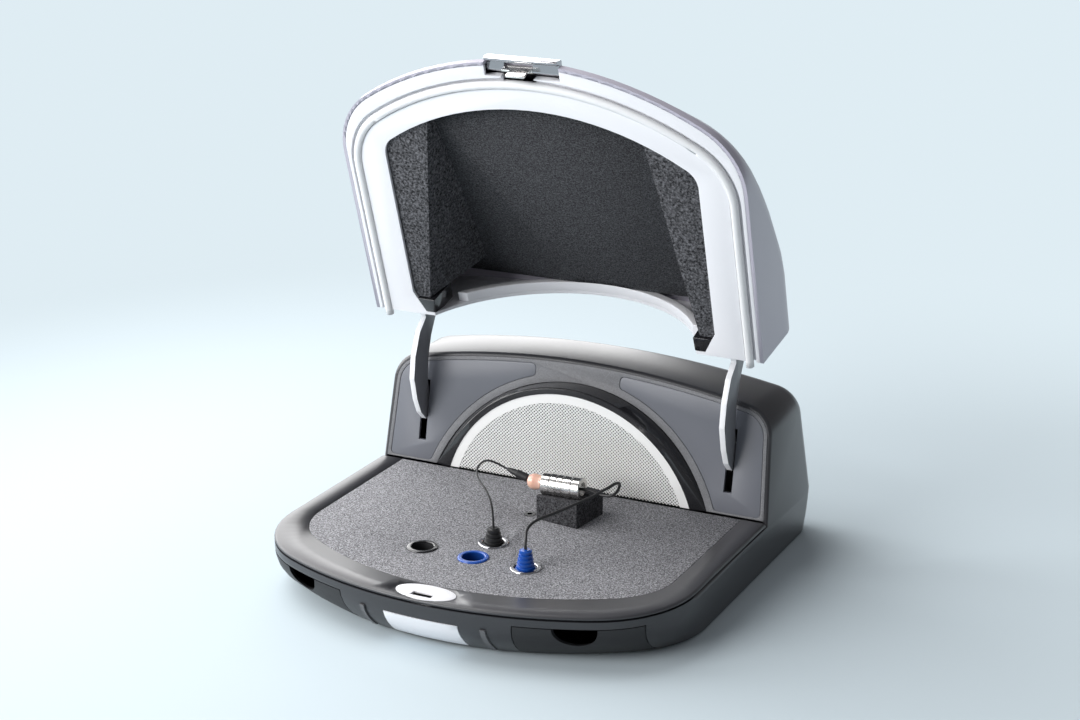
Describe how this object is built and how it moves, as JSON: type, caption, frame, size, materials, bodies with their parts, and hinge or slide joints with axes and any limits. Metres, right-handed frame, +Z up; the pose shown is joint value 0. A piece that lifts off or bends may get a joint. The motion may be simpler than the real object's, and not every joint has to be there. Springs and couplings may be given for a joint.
{
  "type": "hearing instrument test box",
  "caption": "Desktop sound chamber for measuring hearing instruments: foam deck with sockets, speaker tower and a hinged foam-lined lid.",
  "frame": {"origin": "on the table under the middle of the base, lid open as pictured", "axes": "+X to the right, +Y to the back, +Z up"},
  "size_m": [0.33, 0.3418, 0.3863],
  "materials": {
    "shell_grey": "satin dark grey moulding",
    "frame_grey": "satin dark grey rim",
    "fascia_grey": "leather-grained dark grey moulding",
    "insert_grey": "smooth blue-grey satin panel",
    "mat_foam": "speckled grey foam",
    "lid_foam": "speckled charcoal foam",
    "black_plastic": "gloss black",
    "matte_black": "matte black",
    "white_plastic": "satin white",
    "lilac_white": "satin lilac white",
    "white_rubber": "soft white bead",
    "blue_plastic": "royal blue",
    "rubber_black": "black rubber",
    "steel": "brushed steel",
    "chrome": "polished chrome",
    "grille_metal": "pale perforated sheet",
    "arm_grey": "grey arm with a white edge",
    "pink": "glossy flesh pink",
    "magnet": "plain steel pot",
    "board_green": "green circuit board"
  },
  "bodies": {
    "root": {"body_shell": "shell_grey", "bottom_plate": "matte_black", "feet": "rubber_black", "bottom_screws": "steel", "deck_frame": "frame_grey", "deck_mat": "mat_foam", "tower_fascia": "fascia_grey", "left_insert": "insert_grey", "right_insert": "insert_grey", "speaker_ring": "black_plastic", "grille": "grille_metal", "speaker_basket": "matte_black", "speaker_cone": "matte_black", "speaker_magnet": "magnet", "left_socket_ring": "black_plastic", "blue_socket_ring": "blue_plastic", "centre_socket_ring": "chrome", "right_socket_ring": "chrome", "left_socket": "matte_black", "blue_socket": "matte_black", "centre_socket": "matte_black", "right_socket": "matte_black", "reference_bush": "black_plastic", "latch_plate": "white_plastic", "latch_strike": "steel", "front_plate": "white_plastic", "front_ribs": "arm_grey", "foam_block": "lid_foam", "coupler_body": "steel", "coupler_cap": "steel", "coupler_ring": "steel", "ear_mould": "pink", "reference_mic": "matte_black", "mic_tail": "rubber_black", "black_plug": "rubber_black", "blue_plug": "blue_plastic", "thin_cord": "rubber_black", "thick_cord": "rubber_black", "circuit_board": "board_green", "power_inlet": "matte_black", "data_socket": "steel", "left_bracket": "steel", "right_bracket": "steel"},
    "lid": {"left_arm": "arm_grey", "right_arm": "arm_grey", "hinge_shaft": "steel", "lid_shell": "lilac_white", "lid_flange": "white_plastic", "lid_gasket": "white_rubber", "lid_foam_top": "lid_foam", "lid_foam_left": "lid_foam", "lid_foam_right": "lid_foam", "foam_ends": "matte_black", "arch_trim": "white_plastic", "lid_screws": "steel", "latch_pin": "steel"},
    "latch": {"latch_handle": "chrome", "latch_hook": "steel"},
    "left_drawer_body": {"left_drawer": "matte_black"},
    "right_drawer_body": {"right_drawer": "matte_black"}
  },
  "joints": [
    {"name": "lid_hinge", "type": "hinge", "parent": "root", "child": "lid", "pos_m": [0, 0.1406, 0.1082], "axis": [1, 0, 0], "range_deg": [0, 72.6]},
    {"name": "latch_hinge", "type": "hinge", "parent": "lid", "child": "latch", "pos_m": [0, -0.00617, 0.37691], "axis": [1, 0, 0], "range_deg": [-12, 6]},
    {"name": "left_drawer_slide", "type": "slide", "parent": "root", "child": "left_drawer_body", "axis": [0, -1, 0], "range_m": [0, 0.05]},
    {"name": "right_drawer_slide", "type": "slide", "parent": "root", "child": "right_drawer_body", "axis": [0, -1, 0], "range_m": [0, 0.05]}
  ]
}
